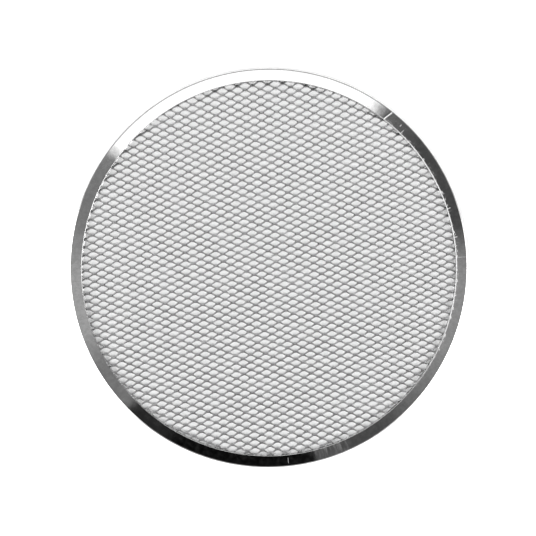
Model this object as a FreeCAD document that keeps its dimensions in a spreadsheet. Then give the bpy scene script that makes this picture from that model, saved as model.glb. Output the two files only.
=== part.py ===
import FreeCAD, Part
import math
import os

import Sketcher

# A round pizza screen lying flat: a disc of raised expanded metal held all round in a rim that is folded
# from one strip. Millimetres, +Z up, origin in the middle of the disc on the surface that the rim rests on,
# the long way of the mesh close to the X axis.

V = FreeCAD.Vector

doc = FreeCAD.newDocument("pizza_screen")
sizes = doc.addObject("Spreadsheet::Sheet", "sizes")

DRIVING = (
    ("rim_diameter", 304.8, "outside of the folded rim, a 12 inch screen"),
    ("rim_width", 9.5, "flat flange seen from above, outer edge to lip"),
    ("strip_thickness", 0.5, "strip that the rim is folded from"),
    ("bend_leg", 0.9, "45 degree flat between each flange and the outer wall"),
    ("seam_gap", 0.5, "slit between the two ends of the strip"),
    ("seam_bearing", 52.0, "degrees from +X to the seam"),
    ("mesh_turn", 3.8, "degrees that the mesh's long way is turned from +X"),
    ("long_pitch", 31.2, "bond to bond along a row"),
    ("short_pitch", 15.8, "bond to bond across the rows"),
    ("bond_length", 4.6, "length along the row where two strands stay joined"),
    ("strand_width", 2.6, "metal thickness of the strand, seen from above"),
    ("strand_depth", 1.05, "cut width of the strand, which stands nearly upright"),
    ("edge_clearance", 0.3, "mesh edge to the bend inside the rim"),
)

DERIVED = (
    ("row_pitch", "=short_pitch / 2", "one row of strands to the next"),
    ("lean", "=acos(strand_depth / row_pitch)", "strand's cut edge against the level"),
    ("rise", "=row_pitch * sin(lean)", "fold height of a row, in its own leaning plane"),
    ("mesh_height", "=2 * strand_depth * sin(lean) + strand_width * cos(lean)", "mesh, face to face"),
    ("rim_height", "=mesh_height + 2 * strip_thickness", "the flanges close on the mesh"),
    ("inner_bend_leg", "=bend_leg - strip_thickness * (2 - sqrt(2))", "same flat inside the fold"),
    ("mesh_radius", "=rim_diameter / 2 - strip_thickness - inner_bend_leg - edge_clearance", "mesh disc"),
    ("columns", "=ceil(mesh_radius / long_pitch)", "bonds on each side of the middle one"),
    ("row_pairs", "=ceil(mesh_radius / short_pitch)", "row pairs on each side of the middle one"),
    ("seam_angle", "=360 * seam_gap / (pi * rim_diameter)", "degrees taken by the slit"),
)

for number, (alias, value, note) in enumerate(DRIVING + DERIVED, start=1):
    sizes.set(f"A{number}", alias)
    sizes.set(f"B{number}", str(value))
    sizes.set(f"C{number}", note)
    sizes.setAlias(f"B{number}", alias)
doc.recompute()


def settle():
    """Recompute until no feature is left waiting for another."""
    while doc.recompute():
        pass


def origin_item(body, role):
    """One of the body's own origin planes or axes."""
    return next(item for item in body.Origin.OriginFeatures if item.Role == role)


def new_body(name):
    body = doc.addObject("PartDesign::Body", name)
    body.Label = name
    return body


def new_sketch(body, name, plane):
    sketch = body.newObject("Sketcher::SketchObject", name)
    sketch.AttachmentSupport = [(origin_item(body, plane), "")]
    sketch.MapMode = "FlatFace"
    return sketch


def closed_outline(sketch, points):
    """Straight lines round the points; line n starts at point n."""
    corners = [V(x, y, 0) for x, y in points]
    for start, end in zip(corners, corners[1:] + corners[:1]):
        sketch.addGeometry(Part.LineSegment(start, end))
    for line in range(len(corners)):
        following = (line + 1) % len(corners)
        sketch.addConstraint(Sketcher.Constraint("Coincident", line, 2, following, 1))


def level_lines(sketch, direction, lines):
    for line in lines:
        sketch.addConstraint(Sketcher.Constraint(direction, line))


def span(sketch, direction, start, end, expression):
    """Distance from the start of one line to the start of another, bound to the sheet."""
    value = sketch.getPoint(end, 1) - sketch.getPoint(start, 1)
    length = value.x if direction == "DistanceX" else value.y
    index = sketch.addConstraint(Sketcher.Constraint(direction, start, 1, end, 1, length))
    sketch.setExpression(f"Constraints[{index}]", expression)


def span_from_origin(sketch, direction, end, expression):
    value = sketch.getPoint(end, 1)
    length = value.x if direction == "DistanceX" else value.y
    index = sketch.addConstraint(Sketcher.Constraint(direction, -1, 1, end, 1, length))
    sketch.setExpression(f"Constraints[{index}]", expression)


def folded_strip_section(body):
    """Section of the rim: two flanges and an outer wall, one strip bent at 45 degrees at each corner."""
    outer = sizes.rim_diameter / 2
    lip = outer - sizes.rim_width
    top = sizes.rim_height
    wall = sizes.strip_thickness
    leg = sizes.bend_leg
    inner_leg = sizes.inner_bend_leg
    (lip_low, foot_end, wall_low, wall_high, head_end, lip_high,
     grip_high, grip_high_end, web_high, web_low, grip_low_end, grip_low) = range(12)
    sketch = new_sketch(body, "strip_section", "XZ_Plane")
    closed_outline(sketch, (
        (lip, 0),
        (outer - leg, 0),
        (outer, leg),
        (outer, top - leg),
        (outer - leg, top),
        (lip, top),
        (lip, top - wall),
        (outer - wall - inner_leg, top - wall),
        (outer - wall, top - wall - inner_leg),
        (outer - wall, wall + inner_leg),
        (outer - wall - inner_leg, wall),
        (lip, wall),
    ))
    level_lines(sketch, "Horizontal", (lip_low, head_end, grip_high, grip_low_end))
    level_lines(sketch, "Vertical", (wall_low, lip_high, web_high, grip_low))
    sketch.addConstraint(Sketcher.Constraint("PointOnObject", lip_low, 1, -1))
    sketch.addConstraint(Sketcher.Constraint("Vertical", lip_low, 1, lip_high, 1))
    span_from_origin(sketch, "DistanceX", wall_low, "sizes.rim_diameter / 2")
    span(sketch, "DistanceX", lip_low, wall_low, "sizes.rim_width")
    span(sketch, "DistanceY", lip_low, lip_high, "sizes.rim_height")
    span(sketch, "DistanceY", lip_low, grip_low, "sizes.strip_thickness")
    span(sketch, "DistanceY", grip_high, lip_high, "sizes.strip_thickness")
    span(sketch, "DistanceX", web_low, wall_low, "sizes.strip_thickness")
    for start, end in ((foot_end, wall_low), (wall_high, head_end)):
        span(sketch, "DistanceY", start, end, "sizes.bend_leg")
    for start, end in ((foot_end, wall_low), (head_end, wall_high)):
        span(sketch, "DistanceX", start, end, "sizes.bend_leg")
    for start, end in ((grip_low_end, web_low), (web_high, grip_high_end)):
        span(sketch, "DistanceY", start, end, "sizes.inner_bend_leg")
    for start, end in ((grip_low_end, web_low), (grip_high_end, web_high)):
        span(sketch, "DistanceX", start, end, "sizes.inner_bend_leg")
    return sketch


def build_rim():
    """The strip goes once round; its two ends leave the seam open."""
    body = new_body("rim")
    section = folded_strip_section(body)
    ring = body.newObject("PartDesign::Revolution", "ring")
    ring.Profile = section
    ring.ReferenceAxis = (section, ["V_Axis"])
    ring.Angle = 360 - sizes.seam_angle
    ring.setExpression("Angle", "360 - sizes.seam_angle")
    body.Tip = ring
    body.Placement = FreeCAD.Placement(V(0, 0, 0), FreeCAD.Rotation(V(0, 0, 1), sizes.seam_bearing))
    body.setExpression("Placement.Rotation.Angle", "sizes.seam_bearing")
    return body


def strand_section(body):
    """One pitch of a strand row in its own leaning plane: up to the bond with the next row and down again."""
    half_pitch = sizes.long_pitch / 2
    half_bond = sizes.bond_length / 2
    high = (sizes.rise + sizes.strand_width) / 2
    low = (sizes.strand_width - sizes.rise) / 2
    thick = sizes.strand_width
    upper = (
        (-half_pitch, low),
        (half_bond - half_pitch, low),
        (-half_bond, high),
        (half_bond, high),
        (half_pitch - half_bond, low),
        (half_pitch, low),
    )
    lower = tuple((x, y - thick) for x, y in reversed(upper))
    (left_end, left_foot, crest_left, crest_right, right_foot, right_end,
     right_end_under, right_foot_under, crest_right_under,
     crest_left_under, left_foot_under, left_end_under) = range(12)
    sketch = new_sketch(body, "strand_section", "XY_Plane")
    closed_outline(sketch, upper + lower)
    level_lines(sketch, "Horizontal", (left_end, crest_left, right_foot))
    level_lines(sketch, "Horizontal", (right_end_under, crest_right_under, left_foot_under))
    level_lines(sketch, "Vertical", (right_end, left_end_under))
    for above, below in (
        (left_foot, left_foot_under),
        (crest_left, crest_left_under),
        (crest_right, crest_right_under),
        (right_foot, right_foot_under),
    ):
        sketch.addConstraint(Sketcher.Constraint("Vertical", above, 1, below, 1))
    sketch.addConstraint(Sketcher.Constraint("Horizontal", left_foot, 1, right_foot, 1))
    span(sketch, "DistanceX", left_end, left_foot, "sizes.bond_length / 2")
    span(sketch, "DistanceX", crest_left, crest_right, "sizes.bond_length")
    span(sketch, "DistanceX", right_foot, right_end, "sizes.bond_length / 2")
    span(sketch, "DistanceX", left_end, right_end, "sizes.long_pitch")
    span(sketch, "DistanceY", left_foot, crest_left, "sizes.rise")
    for below, above in (
        (left_end_under, left_end),
        (crest_left_under, crest_left),
        (right_end_under, right_end),
    ):
        span(sketch, "DistanceY", below, above, "sizes.strand_width")
    span_from_origin(sketch, "DistanceX", crest_right, "sizes.bond_length / 2")
    span_from_origin(sketch, "DistanceX", right_end, "sizes.long_pitch / 2")
    span_from_origin(sketch, "DistanceY", crest_left, "(sizes.rise + sizes.strand_width) / 2")
    # The plane leans back by the complement of the cut edge's lean, and the first row starts at the near left.
    sketch.AttachmentOffset = FreeCAD.Placement(V(-1, -1, 0), FreeCAD.Rotation(V(-1, 0, 0), 1))
    sketch.setExpression("AttachmentOffset.Rotation.Angle", "90 deg - sizes.lean")
    sketch.setExpression("AttachmentOffset.Base.x", "-sizes.columns * sizes.long_pitch")
    sketch.setExpression("AttachmentOffset.Base.y", "-sizes.row_pairs * sizes.short_pitch")
    return sketch


def repeat_along(body, name, axis, pitch, count, refine):
    pattern = body.newObject("PartDesign::LinearPattern", name)
    pattern.TransformMode = "Whole shape"
    pattern.Mode = "Spacing"
    pattern.Direction = (origin_item(body, axis), [""])
    pattern.setExpression("Offset", pitch)
    pattern.setExpression("Occurrences", count)
    pattern.Refine = refine
    body.Tip = pattern
    return pattern


def build_expanded_sheet():
    """Rows of folded strands that stay joined face to face at their bonds, trimmed to a disc."""
    body = new_body("expanded_sheet")
    strand = body.newObject("PartDesign::Pad", "strand")
    strand.Profile = strand_section(body)
    strand.Midplane = True
    strand.setExpression("Length", "sizes.strand_depth")
    body.Tip = strand
    settle()

    repeat_along(body, "row", "X_Axis", "sizes.long_pitch", "2 * sizes.columns + 1", True)

    # Each row is the one before it given half a turn about the line through the bonds that they share.
    bond_line = new_sketch(body, "bond_line", "XY_Plane")
    bond_line.AttachmentOffset = FreeCAD.Placement(V(0, -1, 0), FreeCAD.Rotation())
    bond_line.setExpression(
        "AttachmentOffset.Base.y", "sizes.row_pitch / 2 - sizes.row_pairs * sizes.short_pitch"
    )
    settle()
    pair = body.newObject("PartDesign::PolarPattern", "row_pair")
    pair.TransformMode = "Whole shape"
    pair.Axis = (bond_line, ["H_Axis"])
    pair.Angle = 360
    pair.Occurrences = 2
    body.Tip = pair

    field = repeat_along(body, "field", "Y_Axis", "sizes.short_pitch", "2 * sizes.row_pairs + 1", False)

    waste = new_sketch(body, "waste", "XY_Plane")
    for radius, expression in (
        (sizes.mesh_radius, "sizes.mesh_radius"),
        (sizes.rim_diameter, "sizes.rim_diameter + sizes.long_pitch"),
    ):
        circle = waste.addGeometry(Part.Circle(V(0, 0, 0), V(0, 0, 1), radius))
        waste.addConstraint(Sketcher.Constraint("Coincident", circle, 3, -1, 1))
        index = waste.addConstraint(Sketcher.Constraint("Radius", circle, radius))
        waste.setExpression(f"Constraints[{index}]", expression)
    trim = body.newObject("PartDesign::Pocket", "trim")
    trim.Profile = waste
    trim.Type = "ThroughAll"
    trim.Midplane = True
    body.Tip = trim
    settle()
    disc_share = trim.Shape.Volume / field.Shape.Volume
    if not 0.3 < disc_share < 0.9:
        raise RuntimeError(f"the trim kept {disc_share:.2f} of the field")
    return body


def build_mesh(blank):
    """The trimmed sheet without the loose chips that the cut may leave at its edge, set in the rim."""
    mesh = doc.addObject("Part::Feature", "mesh")
    mesh.Label = "mesh"
    mesh.Shape = max(blank.Shape.Solids, key=lambda solid: solid.Volume)
    mesh.Placement = FreeCAD.Placement(V(0, 0, 1), FreeCAD.Rotation(V(0, 0, 1), sizes.mesh_turn))
    mesh.setExpression("Placement.Base.z", "sizes.rim_height / 2")
    mesh.setExpression("Placement.Rotation.Angle", "sizes.mesh_turn")
    return mesh


rim = build_rim()
expanded_sheet = build_expanded_sheet()
mesh = build_mesh(expanded_sheet)
settle()

for item in doc.Objects:
    if "Invalid" in item.State or "Error" in item.State:
        raise RuntimeError(f"{item.Label} failed: {item.State}")
for node in (rim, expanded_sheet, mesh):
    if node.Shape.isNull() or not node.Shape.isValid():
        raise RuntimeError(f"{node.Label} has no valid shape")

os.makedirs("parts", exist_ok=True)
for node in (rim, mesh):
    node.Shape.exportStep(f"parts/{node.Label}.step")
    print(f"{node.Label}: {len(node.Shape.Solids)} solid, {node.Shape.Volume:.0f} cubic mm")
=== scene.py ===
import math

import bmesh
import bpy
import numpy as np
from mathutils import Matrix, Vector


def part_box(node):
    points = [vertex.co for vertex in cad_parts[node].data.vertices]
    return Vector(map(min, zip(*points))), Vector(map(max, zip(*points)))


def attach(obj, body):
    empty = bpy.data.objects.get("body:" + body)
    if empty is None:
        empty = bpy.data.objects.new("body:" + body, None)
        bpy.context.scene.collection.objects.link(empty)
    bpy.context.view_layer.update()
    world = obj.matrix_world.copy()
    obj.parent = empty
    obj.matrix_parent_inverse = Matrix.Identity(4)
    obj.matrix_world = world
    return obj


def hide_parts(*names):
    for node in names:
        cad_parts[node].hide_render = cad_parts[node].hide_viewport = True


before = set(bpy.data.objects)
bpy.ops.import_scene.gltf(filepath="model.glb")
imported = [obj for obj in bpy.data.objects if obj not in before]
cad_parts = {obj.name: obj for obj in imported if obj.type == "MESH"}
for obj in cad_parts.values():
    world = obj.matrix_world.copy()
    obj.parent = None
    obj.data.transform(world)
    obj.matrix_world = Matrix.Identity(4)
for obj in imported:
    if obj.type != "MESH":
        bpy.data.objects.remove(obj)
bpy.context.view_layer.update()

MM = 0.001

# Overall sizes from the frame: the rim's outside and the slab that the mesh fills inside it.
rim_low, rim_high = (Vector(corner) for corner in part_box("rim"))
mesh_low, mesh_high = (Vector(corner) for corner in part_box("mesh"))
RIM_RADIUS = min(-rim_low.x, -rim_low.y, rim_high.x, rim_high.y)
RIM_HEIGHT = rim_high.z - rim_low.z
MESH_HEIGHT = mesh_high.z - mesh_low.z
MESH_LEVEL = (mesh_high.z + mesh_low.z) / 2
MESH_RADIUS = (mesh_high.x - mesh_low.x) / 2

# Rim strip: its width from the outside to the upper lip, and its thickness
RIM_WIDTH = 9.5 * MM
STRIP = 0.5 * MM
RIM_STEPS = 900
RIM_SHARP = math.radians(50)
# Fold, lips and how much further in the lower flange reaches than the upper one
FOLD_REACH = 1.3 * MM
FOLD_STEPS = 16
LIP_ROUNDING = 0.28 * MM
LIP_STEPS = 5
LOWER_REACH = 0.6 * MM
EDGE_ROUNDING = 0.08 * MM
# Seam: the two ends are pressed a little flatter, and the cut runs slightly aslant
SEAM_BEARING = math.radians(52.0)
SEAM_GAP = 0.16 * MM
SEAM_SLANT = math.radians(1.0)
SEAM_PINCH = 0.025 * MM
SEAM_ROUNDING = 0.55 * MM
SEAM_STEPS = 5

# Finish of the strip: scales of its unevenness, as one value or as (round the rim, across it)
CLOUD_SCALE = 90.0
SMEAR_SCALE = 260.0
ROLLING_SCALES = (40.0, 3500.0)
STREAK_SCALES = (900.0, 60.0)
SCRATCH_SCALES = (1900.0, 90.0)
PATCH_SCALES = (260.0, 500.0)
POLISH = (0.02, 0.035)
POLISH_DEPTH = 0.006 * MM
ROLLING_SHARE = 0.02
STRIP_TONES = (0.92, 0.88)
MOTTLE = (0.93, 1.05)
# Wear of the strip: bearings with the angles where it is full and where it ends, and ways from the lip
WORN_ROUGHNESS = 0.5
WORN_ZONE = (10.0, 30.0, 55.0)
BRUSHED_ZONE = (289.0, 4.5, 6.0)
BRUSHED_COVER = 0.18
SCRATCH_REACH = (0.3 * MM, 4.5 * MM)
RUBBED_REACH = (0.8 * MM, 2.4 * MM)
LIP_LINE_REACH = (0.5 * MM, 1.0 * MM)
SCUFFED_FOLD_REACH = (1.0 * MM, 0.5 * MM)
SCUFFED_FOLD_COVER = 0.12
WEAR_COVER = 0.9
HAZE_COVER = 0.014
# Single nicks in the upper flange as (bearing, start and end from the lip in mm, width in mm)
NICKS = (
    (47.6, 4.0, 5.8, 0.42),
    (46.0, 0.2, 4.0, 0.32),
    (18.6, 0.2, 3.0, 0.50),
    (9.6, 0.2, 2.6, 0.50),
    (3.4, 1.0, 9.0, 0.16),
    (275.4, 2.3, 6.4, 0.20),
)

# Expanded mesh at its real pitch
LONG_PITCH = 11.460 * MM
SHORT_PITCH = 5.764 * MM
ROW_PITCH = SHORT_PITCH / 2
BOND_LENGTH = 1.5 * MM
STRAND_RUN = LONG_PITCH / 2 - BOND_LENGTH
SHEET_THICKNESS = 0.80 * MM
STRAND_WIDTH = 1.40 * MM
# Stations of half a strand as shares of its run, and the share over which it bends out of the bond
STRAND_STATIONS = (0.0, 0.13, 0.5)
STRAND_BEND = 0.16
# The leaning strands face the north with -1, and the south with 1
FACING = -1
EDGE_ROOM = 0.6 * MM
MESH_SHARP = math.radians(40)
# How the sheet lies in the rim: its middle, turn and skew, and its wider spread towards the rim
MESH_CENTRE = (-0.910 * MM, 0.940 * MM)
MESH_TURN = math.radians(3.64)
MESH_SKEW = math.radians(0.90)
SPREAD_ALONG = 0.0066
SPREAD_ACROSS = 0.0150
SPREAD_RADIUS = 137 * MM
# Finish of the mesh
MESH_TONES = (0.67, 0.76)
MESH_BLUE = 1.005
# Painted shade: the mesh colour is multiplied by this share at the bonds, where the strands' creases lie in
# shade
BOND_PAINTED_SHADE = 0.78
MESH_ROUGHNESS = (0.20, 0.30)
MESH_PATCH_SCALE = 120.0
GRAIN_SCALE = 2500.0
GRAIN_DEPTH = 0.05 * MM

# Floor: how much the seen floor is lifted towards white, below the screen and round it,
# and where the lift changes, counted inwards from the rim's outside. The stronger lift round the
# screen is painted light: the floor glows more there than beneath the screen, which paints out the screen's
# shadow beyond the rim
FLOOR_SIZE = 4.0
PAPER_TONE = 0.9
FLOOR_LIFT = 0.07
OUTER_LIFT = 0.24
LIFT_CHANGE = (4 * MM, 1 * MM)

# Studio light: a dim dome everywhere, with heights in degrees above the horizon
DOME = 0.14
# Pale walls all round: their light, full up to the first height and gone at the second
WALLS = 0.22
WALL_HEIGHTS = (12, 27)
# A pale ring above the walls, between the heights where it starts, is full, fades and is gone
RING = 0.28
RING_HEIGHTS = (30, 40, 54, 62)
# Soft panels as (bearing, height, inner angle, outer angle, light)
PANELS = (
    (341, 41, 3, 28, 5.1),
    (199.5, 35, 23, 33, 3.75),
)
# Cards overhead as (first bearing, last bearing, tone), about the point that the middle of the rim mirrors
OVERHEAD_PIVOT = (0.0718, -0.0502)
OVERHEAD_CARDS = (
    (100, 141, 1.25),
    (145, 166, 0.20),
    (182, 198, 0.37),
    (210, 223.5, 0.19),
    (224.5, 236, 0.02),
    (242, 283.3, 0.003),
    (284, 306, 0.072),
    (322, 323, 0.19),
    (336, 360, 0.28),
    (373, 400, 0.066),
    (411, 414, 0.13),
    (418.5, 460, 1.25),
)
# Angles from the zenith where the cards are full and where they end
OVERHEAD_REACH = (12, 22)

# Camera, which looks down from a little to one side
CAMERA_TILT = math.radians(4.93)
CAMERA_BEARING = math.radians(144.9)
CAMERA_DISTANCE = 1.416
CAMERA_LENS_RATIO = 3.4638
CAMERA_SENSOR = 36
CAMERA_AIM = Vector((-1.447 * MM, 0.701 * MM, 0))


def new_piece(name, mesh, material, node):
    """A visible piece with its material and slot, which rides the root and replaces a solid."""
    piece = bpy.data.objects.new(name, mesh)
    bpy.context.scene.collection.objects.link(piece)
    mesh.materials.append(material)
    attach(piece, "root")
    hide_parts(node)
    return piece


def finish_surface(mesh, sharp_angle):
    """Smooth shading apart from edges sharper than the angle, with the faces turned outwards."""
    surface = bmesh.new()
    surface.from_mesh(mesh)
    bmesh.ops.remove_doubles(surface, verts=surface.verts, dist=1e-7)
    bmesh.ops.recalc_face_normals(surface, faces=surface.faces)
    for face in surface.faces:
        face.smooth = True
    for edge in surface.edges:
        edge.smooth = len(edge.link_faces) == 2 and edge.calc_face_angle() < sharp_angle
    surface.to_mesh(mesh)
    surface.free()


def direction_at(bearing, height):
    """Unit vector at a bearing from the east and a height above the horizon, both in radians."""
    level = math.cos(height)
    return Vector((level * math.cos(bearing), level * math.sin(bearing), math.sin(height)))


class Nodes:
    """A short way to write a node tree: each call adds one node and returns its output."""

    def __init__(self, tree):
        self.tree = tree
        tree.nodes.clear()

    def add(self, kind, inputs=(), output=0, **settings):
        node = self.tree.nodes.new(kind)
        for name, value in settings.items():
            setattr(node, name, value)
        for socket, value in dict(inputs).items():
            if isinstance(value, bpy.types.NodeSocket):
                self.tree.links.new(value, node.inputs[socket])
            else:
                node.inputs[socket].default_value = value
        return node.outputs[output]

    def math(self, operation, first, second=0.0):
        return self.add("ShaderNodeMath", {0: first, 1: second}, operation=operation)

    def product(self, first, *others):
        for other in others:
            first = self.math("MULTIPLY", first, other)
        return first

    def greatest(self, first, *others):
        for other in others:
            first = self.math("MAXIMUM", first, other)
        return first

    def ramp(self, value, low, high, start=0.0, end=1.0):
        """Smooth step of value from low to high, giving start to end."""
        return self.add(
            "ShaderNodeMapRange",
            {"Value": value, "From Min": low, "From Max": high, "To Min": start, "To Max": end},
            interpolation_type="SMOOTHSTEP",
        )

    def mix(self, factor, first, second):
        """Blend of two numbers."""
        return self.add("ShaderNodeMix", {0: factor, 2: first, 3: second}, data_type="FLOAT")

    def noise(self, vector, scale, detail=2.0, roughness=0.5):
        return self.add(
            "ShaderNodeTexNoise",
            {"Vector": vector, "Scale": scale, "Detail": detail, "Roughness": roughness},
        )

    def split(self, vector):
        """The three parts of a vector."""
        node = self.tree.nodes.new("ShaderNodeSeparateXYZ")
        self.tree.links.new(vector, node.inputs[0])
        return node.outputs

    def length(self, vector):
        return self.add("ShaderNodeVectorMath", {0: vector}, output="Value", operation="LENGTH")

    def metal(self, colour, roughness, **inputs):
        sockets = {"Base Color": colour, "Metallic": 1.0, "Roughness": roughness, **inputs}
        return self.add("ShaderNodeBsdfPrincipled", sockets)

    def bump(self, height, strength, depth):
        return self.add(
            "ShaderNodeBump", {"Height": height, "Strength": strength, "Distance": depth}, output="Normal"
        )

    def finish(self, shader, kind="ShaderNodeOutputMaterial"):
        """Lead the shader to the tree's output."""
        out = self.tree.nodes.new(kind)
        self.tree.links.new(shader, out.inputs["Surface"])


def new_material(name):
    material = bpy.data.materials.new(name)
    material.use_nodes = True
    return material, Nodes(material.node_tree)


class RimPlace:
    """Where a point lies on the rim: its bearing, its way from the axis and its way from the lip."""

    def __init__(self, nodes):
        self.nodes = nodes
        self.point = nodes.add("ShaderNodeTexCoord", output="Object")
        east, north, _ = nodes.split(self.point)
        self.bearing = nodes.math("ARCTAN2", north, east)
        self.along = nodes.math("MULTIPLY", self.bearing, RIM_RADIUS)
        self.from_axis = nodes.length(nodes.add("ShaderNodeCombineXYZ", {0: east, 1: north}))
        self.from_lip = nodes.math("SUBTRACT", self.from_axis, RIM_RADIUS - RIM_WIDTH)

    def stretched(self, scales, detail):
        """Noise with its own scale round the rim and across it."""
        vector = self.nodes.add("ShaderNodeCombineXYZ", {
            0: self.nodes.math("MULTIPLY", self.along, scales[0]),
            1: self.nodes.math("MULTIPLY", self.from_axis, scales[1]),
        })
        return self.nodes.noise(vector, 1.0, detail)

    def near_bearing(self, angle, inner, outer):
        """1 within the inner angle of a bearing, 0 beyond the outer one, all in degrees."""
        turn = self.nodes.math("SUBTRACT", self.bearing, math.radians(angle))
        closeness = self.nodes.math("COSINE", turn)
        return self.nodes.ramp(closeness, math.cos(math.radians(outer)), math.cos(math.radians(inner)))

    def near_lip(self, near, far):
        """1 up to the near way from the lip, 0 beyond the far one."""
        return self.nodes.ramp(self.from_lip, far, near)

    def nick(self, angle, start, end, width):
        """1 on a short straight line across the flange, 0 beside it."""
        nodes = self.nodes
        turn = nodes.math("SUBTRACT", self.bearing, angle)
        sideways = nodes.math("ABSOLUTE", nodes.math("MULTIPLY", nodes.math("SINE", turn), self.from_axis))
        return nodes.product(
            nodes.ramp(sideways, width * 0.8, width * 0.3),
            nodes.math("GREATER_THAN", nodes.math("COSINE", turn), 0.0),
            nodes.math("GREATER_THAN", self.from_lip, start),
            nodes.math("LESS_THAN", self.from_lip, end),
        )


def rim_wear(nodes, place, streaks):
    """0 on clean strip, up to 1 on worn strip: scratches, rubbed lip, brushed lines, nicks and fold."""
    worn_zone = place.near_bearing(*WORN_ZONE)
    cuts = nodes.ramp(place.stretched(SCRATCH_SCALES, 1.0), 0.66, 0.72)
    scratches = nodes.product(cuts, worn_zone, place.near_lip(*SCRATCH_REACH))
    patches = nodes.ramp(place.stretched(PATCH_SCALES, 2.0), 0.53, 0.62)
    rubbed = nodes.product(place.near_lip(*RUBBED_REACH), patches)
    lip = nodes.product(nodes.greatest(rubbed, place.near_lip(*LIP_LINE_REACH)), worn_zone)
    brushed = nodes.product(
        place.near_bearing(*BRUSHED_ZONE), nodes.ramp(streaks, 0.45, 0.65, 0.0, BRUSHED_COVER)
    )
    nicks = [
        place.nick(math.radians(bearing), start * MM, end * MM, width * MM)
        for bearing, start, end, width in NICKS
    ]
    fold_from, fold_full = (RIM_RADIUS - way for way in SCUFFED_FOLD_REACH)
    fold = nodes.ramp(place.from_axis, fold_from, fold_full, 0.0, SCUFFED_FOLD_COVER)
    return nodes.greatest(scratches, lip, brushed, *nicks, fold)


def rim_metal():
    """Bright rolled strip: a cloudy polish with fine lines round the rim, worn and nicked by the lip."""
    material, nodes = new_material("rim_bright_strip")
    place = RimPlace(nodes)
    clouds = nodes.noise(place.point, CLOUD_SCALE, 3.0)
    smears = nodes.noise(place.point, SMEAR_SCALE, 4.0, 0.65)
    rolling = place.stretched(ROLLING_SCALES, 2.0)
    streaks = place.stretched(STREAK_SCALES, 3.0)

    mottle = nodes.ramp(smears, 0.35, 0.65, *MOTTLE)
    tone = nodes.product(nodes.ramp(streaks, 0.3, 0.7, *STRIP_TONES), mottle)
    colour = nodes.add("ShaderNodeCombineColor", {0: tone, 1: tone, 2: tone})
    height = nodes.math("ADD", clouds, nodes.math("MULTIPLY", rolling, ROLLING_SHARE))
    bump = nodes.bump(height, 1.0, POLISH_DEPTH)
    bright = nodes.metal(colour, nodes.ramp(clouds, 0.3, 0.7, *POLISH), Normal=bump)
    worn = nodes.metal(colour, WORN_ROUGHNESS)

    wear = nodes.math("MULTIPLY", rim_wear(nodes, place, streaks), WEAR_COVER)
    haze = nodes.ramp(smears, 0.40, 0.75, 0.0, HAZE_COVER)
    nodes.finish(nodes.add("ShaderNodeMixShader", {0: nodes.greatest(haze, wear), 1: bright, 2: worn}))
    return material


def mesh_metal():
    """Mill finish sheet with slightly varied strands, and painted shade that darkens the bonds."""
    material, nodes = new_material("mesh_mill_finish")
    place = nodes.add("ShaderNodeTexCoord", output="Object")
    patches = nodes.noise(place, MESH_PATCH_SCALE)
    bond = nodes.add("ShaderNodeAttribute", output="Fac", attribute_name="bond")
    clean = nodes.ramp(patches, 0.25, 0.75, *MESH_TONES)
    # Painted shade: the colour darkens from the strands' middles towards the bonds
    tone = nodes.product(clean, nodes.ramp(bond, 0.0, 1.0, 1.0, BOND_PAINTED_SHADE))
    blue = nodes.math("MULTIPLY", tone, MESH_BLUE)
    colour = nodes.add("ShaderNodeCombineColor", {0: tone, 1: tone, 2: blue})
    roughness = nodes.ramp(patches, 0.3, 0.7, *MESH_ROUGHNESS)
    bump = nodes.bump(nodes.noise(place, GRAIN_SCALE), 0.15, GRAIN_DEPTH)
    nodes.finish(nodes.metal(colour, roughness, Normal=bump))
    return material


def rounded_lip(lip):
    """From the outer flat over the rounded lip to the strip's inner side, as on the upper flange."""
    inner = RIM_HEIGHT - STRIP
    section = []
    for turn in np.linspace(0, math.pi / 2, LIP_STEPS + 1)[1:]:
        inwards = LIP_ROUNDING * (1 - math.sin(turn))
        down = LIP_ROUNDING * (1 - math.cos(turn))
        section.append((lip + inwards, RIM_HEIGHT - down))
    return section + [(lip, inner + EDGE_ROUNDING), (lip + EDGE_ROUNDING, inner)]


def rim_profile():
    """Section of the strip in (radius, height), from the lower lip by the fold to the upper lip and back."""
    middle = RIM_HEIGHT / 2
    fold_start = RIM_RADIUS - FOLD_REACH
    upper = RIM_RADIUS - RIM_WIDTH
    lower = upper - LOWER_REACH

    def flange(lip):
        """Radii along a flat flange, close together by its lip and by the fold."""
        by_lip = (lip + LIP_ROUNDING, lip + 1.5 * LIP_ROUNDING)
        return (*by_lip, (lip + fold_start) / 2, fold_start - 3 * EDGE_ROUNDING)

    def fold(reach, rise, turns):
        return [(fold_start + reach * math.cos(q), middle + rise * math.sin(q)) for q in turns]

    turns = np.linspace(-math.pi / 2, math.pi / 2, FOLD_STEPS + 1)
    outside = [(r, 0.0) for r in flange(lower)]
    outside += fold(FOLD_REACH, middle, turns)
    outside += [(r, RIM_HEIGHT) for r in flange(upper)[::-1]]
    inside = [(r, RIM_HEIGHT - STRIP) for r in flange(upper)]
    inside += fold(FOLD_REACH - STRIP, middle - STRIP, turns[::-2])
    inside += [(r, STRIP) for r in flange(lower)[::-1]]
    lower_lip = [(r, RIM_HEIGHT - z) for r, z in rounded_lip(lower)[::-1]]
    return np.array(outside + rounded_lip(upper) + inside + lower_lip)


def rim_turns():
    """Turns from one side of the seam round to the other, closer at the two ends, and the pinch at each."""
    end = SEAM_GAP / 2 / RIM_RADIUS
    rounding = end + np.linspace(0, SEAM_ROUNDING / RIM_RADIUS, SEAM_STEPS + 1)
    whole = np.linspace(rounding[-1], 2 * math.pi - rounding[-1], RIM_STEPS)[1:-1]
    turns = np.concatenate([rounding, whole, 2 * math.pi - rounding[::-1]])
    from_end = np.minimum(turns, 2 * math.pi - turns) - end
    pinch = SEAM_PINCH * np.clip(1 - from_end * RIM_RADIUS / SEAM_ROUNDING, 0, 1) ** 2
    return turns, pinch


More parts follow.
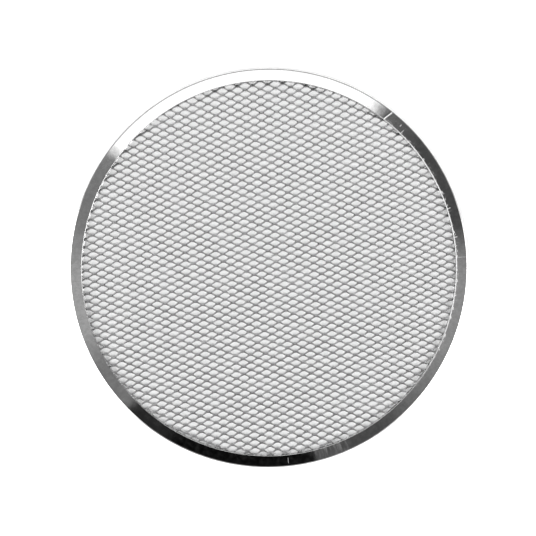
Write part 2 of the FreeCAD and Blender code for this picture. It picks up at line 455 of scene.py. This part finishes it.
def swept_faces(steps, count):
    """Faces between sections of count points each, closed at the first and the last section."""
    faces = []
    for step in range(steps):
        near, far = step * count, (step + 1) * count
        for n in range(count):
            after = (n + 1) % count
            faces.append((near + n, near + after, far + after, far + n))
    faces.append(tuple(range(count - 1, -1, -1)))
    faces.append(tuple(steps * count + n for n in range(count)))
    return faces


def build_rim():
    """The folded strip swept once round from one side of the seam to the other."""
    profile = rim_profile()
    radius, height = profile[:, 0], profile[:, 1]
    turns, pinch = rim_turns()
    slant = SEAM_SLANT * (RIM_RADIUS - radius) / RIM_WIDTH
    bearings = SEAM_BEARING + turns[:, None] + slant[None, :]
    upwards = (height - RIM_HEIGHT / 2) / (RIM_HEIGHT / 2)
    pinched = height[None, :] - pinch[:, None] * upwards[None, :]
    points = np.stack([np.cos(bearings) * radius, np.sin(bearings) * radius, pinched], axis=-1)
    mesh = bpy.data.meshes.new("rim_strip")
    mesh.from_pydata(points.reshape(-1, 3).tolist(), [], swept_faces(len(turns) - 1, len(profile)))
    mesh.validate()
    finish_surface(mesh, RIM_SHARP)
    return new_piece("rim_strip", mesh, rim_metal(), "rim")


def half_strand():
    """The strands' lean, and stations from a bond's end to mid strand as (way along, fold height, slope)."""
    lean = math.acos(STRAND_WIDTH / ROW_PITCH)
    rise = ROW_PITCH * math.sin(lean) / (1 - STRAND_BEND)
    stations = []
    for share in STRAND_STATIONS:
        # The slope grows evenly from nothing over the bend and is then constant.
        if share < STRAND_BEND:
            climb = share * share / (2 * STRAND_BEND)
            slope = share / STRAND_BEND
        else:
            climb = share - STRAND_BEND / 2
            slope = 1.0
        way = BOND_LENGTH / 2 + share * STRAND_RUN
        stations.append((way, rise * climb, rise * slope / STRAND_RUN))
    return lean, stations


def strand_corners(x, height, grade, side):
    """Four corners of a strand at a station: under-inner, under-outer, over-inner and over-outer."""
    length = math.hypot(1, grade)
    normal = Vector((-side * grade / length, 1 / length))
    corners = []
    for through in (-SHEET_THICKNESS / 2, SHEET_THICKNESS / 2):
        for across in (0, STRAND_WIDTH):
            corners.append((x + normal.x * through, side * height + normal.y * through, side * across))
    return corners


def bond_unit():
    """One bond with its four half strands: points, faces, ends and each point's nearness to the bond."""
    lean, half = half_strand()
    mirrored = [(-way, height, -slope) for way, height, slope in half[::-1]]
    stations = mirrored + half
    points, faces, ends = [], [], []
    for side in (-1, 1):
        first = len(points)
        for way, height, slope in stations:
            points += strand_corners(way, height, slope, side)
        for number in range(len(stations) - 1):
            near = first + 4 * number
            far = near + 4
            # Between the two middle stations, the inner side is welded to the other strand.
            welded = number == len(half) - 1
            for a, b in ((0, 1), (1, 3), (3, 2)) if welded else ((0, 1), (1, 3), (3, 2), (2, 0)):
                faces.append((near + a, near + b, far + b, far + a))
        last = first + 4 * (len(stations) - 1)
        ends.append((side, -1, (first, first + 1, first + 3, first + 2)))
        ends.append((side, 1, (last, last + 2, last + 3, last + 1)))
    local = np.array(points)
    away = np.clip((np.abs(local[:, 0]) - BOND_LENGTH / 2) / (0.5 * STRAND_RUN), 0, 1)
    return leant(local, lean), faces, ends, 1 - away


def leant(local, lean):
    """Points in (along, through the sheet, across it), brought from the leaning sheet to the level one."""
    through_axis = np.array((0, math.sin(lean), -math.cos(lean)))
    across_axis = np.array((0, math.cos(lean), math.sin(lean)))
    along, through, across = local[:, :1], local[:, 1:2], local[:, 2:]
    world = along * np.array((1.0, 0, 0)) + through * through_axis + across * across_axis
    # The rim's press leaves the sheet as thick as the slab between the flanges.
    world[:, 2] *= MESH_HEIGHT / (world[:, 2].max() - world[:, 2].min())
    world[:, :2] *= FACING
    return world


def lay_in_rim(points):
    """Skew, uneven spread, turn and place of the sheet in the rim."""
    x = points[:, 0] + math.tan(MESH_SKEW) * points[:, 1]
    y = points[:, 1]
    spread = (x * x + y * y) / SPREAD_RADIUS ** 2
    x = x * (1 + SPREAD_ALONG * spread)
    y = y * (1 + SPREAD_ACROSS * spread)
    turned_x = MESH_CENTRE[0] + math.cos(MESH_TURN) * x - math.sin(MESH_TURN) * y
    turned_y = MESH_CENTRE[1] + math.sin(MESH_TURN) * x + math.cos(MESH_TURN) * y
    return np.stack([turned_x, turned_y, MESH_LEVEL + points[:, 2]], axis=-1)


def bond_lattice():
    """Centres of the bonds by (row, column): every other column in a row, staggered from row to row."""
    reach = MESH_RADIUS - LONG_PITCH / 4 - EDGE_ROOM
    rows = int(MESH_RADIUS / ROW_PITCH) + 2
    columns = int(2 * MESH_RADIUS / LONG_PITCH) + 2
    bonds = {}
    for row in range(-rows, rows + 1):
        for column in range(-columns, columns + 1):
            if (row + column) % 2:
                continue
            centre = np.array([[column * LONG_PITCH / 2, (row + 0.5) * ROW_PITCH, 0.0]])
            if np.hypot(*lay_in_rim(centre)[0, :2]) < reach:
                bonds[(row, column)] = centre
    return bonds


def build_mesh():
    """Expanded sheet: the bond unit repeated on its staggered lattice, welded where strands meet."""
    unit, unit_faces, unit_ends, unit_bond = bond_unit()
    bonds = bond_lattice()
    points, faces = [], []
    for (row, column), centre in bonds.items():
        first = len(points) * len(unit)
        points.append(unit + centre)
        faces += [tuple(first + corner for corner in face) for face in unit_faces]
        for side, way, end in unit_ends:
            if (row + FACING * side, column + FACING * way) not in bonds:
                faces.append(tuple(first + corner for corner in end))
    mesh = bpy.data.meshes.new("expanded_mesh")
    mesh.from_pydata(lay_in_rim(np.concatenate(points)).tolist(), [], faces)
    bonded = np.tile(unit_bond, len(bonds))
    mesh.attributes.new("bond", "FLOAT", "POINT").data.foreach_set("value", bonded)
    finish_surface(mesh, MESH_SHARP)
    return new_piece("expanded_mesh", mesh, mesh_metal(), "mesh")


def floor_paper():
    """White paper, lifted towards white where the camera or a mirror ray sees it, with painted light: the
    lift is stronger round the screen than beneath it.
    """
    material, nodes = new_material("studio_floor")
    path = nodes.tree.nodes.new("ShaderNodeLightPath")
    seen = nodes.greatest(path.outputs["Is Camera Ray"], path.outputs["Is Glossy Ray"])
    from_axis = nodes.length(nodes.add("ShaderNodeTexCoord", output="Object"))
    change_from, change_to = (RIM_RADIUS - way for way in LIFT_CHANGE)
    # Painted light: the stronger lift beyond the rim paints out the screen's shadow there
    lift = nodes.product(seen, nodes.ramp(from_axis, change_from, change_to, FLOOR_LIFT, OUTER_LIFT))
    glow = nodes.add("ShaderNodeEmission", {"Color": (1, 1, 1, 1), "Strength": lift})
    paper = nodes.add("ShaderNodeBsdfDiffuse", {"Color": (PAPER_TONE, PAPER_TONE, PAPER_TONE, 1)})
    nodes.finish(nodes.add("ShaderNodeAddShader", {0: paper, 1: glow}))
    return material


def build_floor():
    """A wide sheet of paper under the screen."""
    corners = [(x * FLOOR_SIZE, y * FLOOR_SIZE, 0) for x, y in ((-1, -1), (1, -1), (1, 1), (-1, 1))]
    mesh = bpy.data.meshes.new("studio_floor")
    mesh.from_pydata(corners, [], [(0, 1, 2, 3)])
    mesh.materials.append(floor_paper())
    floor = bpy.data.objects.new("studio_floor", mesh)
    bpy.context.scene.collection.objects.link(floor)


def tent_light(nodes, direction, up):
    """The dim dome with its pale walls, pale ring and soft panels."""
    low, high = (math.sin(math.radians(height)) for height in WALL_HEIGHTS)
    light = nodes.math("ADD", nodes.ramp(up, low, high, WALLS, 0.0), DOME)
    foot, full, fade, head = (math.sin(math.radians(height)) for height in RING_HEIGHTS)
    ring = nodes.product(nodes.ramp(up, foot, full), nodes.ramp(up, fade, head, RING, 0.0))
    light = nodes.math("ADD", light, ring)
    for bearing, height, inner, outer, power in PANELS:
        aim = direction_at(math.radians(bearing), math.radians(height))
        towards = nodes.add(
            "ShaderNodeVectorMath", {0: direction, 1: aim}, output="Value", operation="DOT_PRODUCT"
        )
        panel = nodes.ramp(towards, math.cos(math.radians(outer)), math.cos(math.radians(inner)))
        light = nodes.math("ADD", light, nodes.math("MULTIPLY", panel, power))
    return light


def overhead_tones(nodes, east, north, up):
    """Tones of the cards overhead by the bearing about the pivot, counted from the first card's start."""
    start = OVERHEAD_CARDS[0][0]
    slope_east = nodes.math("SUBTRACT", nodes.math("DIVIDE", east, up), OVERHEAD_PIVOT[0])
    slope_north = nodes.math("SUBTRACT", nodes.math("DIVIDE", north, up), OVERHEAD_PIVOT[1])
    turn = nodes.math("DIVIDE", nodes.math("ARCTAN2", slope_north, slope_east), 2 * math.pi)
    share = nodes.math("FRACT", nodes.math("ADD", turn, 1 - start / 360))
    tones = nodes.tree.nodes.new("ShaderNodeValToRGB")
    nodes.tree.links.new(share, tones.inputs[0])
    stops = tones.color_ramp.elements
    stops.remove(stops[1])
    stops[0].color = (OVERHEAD_CARDS[0][2],) * 3 + (1,)
    for first, last, tone in OVERHEAD_CARDS:
        for bearing in (first, last):
            stops.new((bearing - start) / 360).color = (tone, tone, tone, 1)
    return tones.outputs[0]


def studio_world():
    """A dim tent with pale walls, a pale ring, two soft panels and cards of several tones overhead."""
    world = bpy.data.worlds.new("studio")
    bpy.context.scene.world = world
    world.use_nodes = True
    nodes = Nodes(world.node_tree)
    direction = nodes.add("ShaderNodeTexCoord", output="Generated")
    east, north, up = nodes.split(direction)
    inner, outer = (math.cos(math.radians(angle)) for angle in OVERHEAD_REACH)
    overhead = nodes.ramp(up, outer, inner)
    light = nodes.mix(overhead, tent_light(nodes, direction, up), overhead_tones(nodes, east, north, up))
    path = nodes.tree.nodes.new("ShaderNodeLightPath")
    strength = nodes.mix(path.outputs["Is Camera Ray"], light, 1.0)
    background = nodes.add("ShaderNodeBackground", {"Color": (1, 1, 1, 1), "Strength": strength})
    nodes.finish(background, "ShaderNodeOutputWorld")


def build_camera():
    """The camera, with north up in its picture."""
    camera = bpy.data.cameras.new("camera")
    camera.sensor_width = CAMERA_SENSOR
    camera.lens = CAMERA_LENS_RATIO * CAMERA_SENSOR
    view = bpy.data.objects.new("camera", camera)
    bpy.context.scene.collection.objects.link(view)
    back = direction_at(CAMERA_BEARING, math.pi / 2 - CAMERA_TILT)
    right = Vector((0, 1, 0)).cross(back).normalized()
    up = back.cross(right)
    turn = Matrix((right, up, back)).transposed().to_4x4()
    view.matrix_world = Matrix.Translation(CAMERA_AIM + back * CAMERA_DISTANCE) @ turn
    bpy.context.scene.camera = view


build_camera()
build_rim()
build_mesh()
build_floor()
studio_world()
bpy.context.scene.view_settings.view_transform = "Standard"
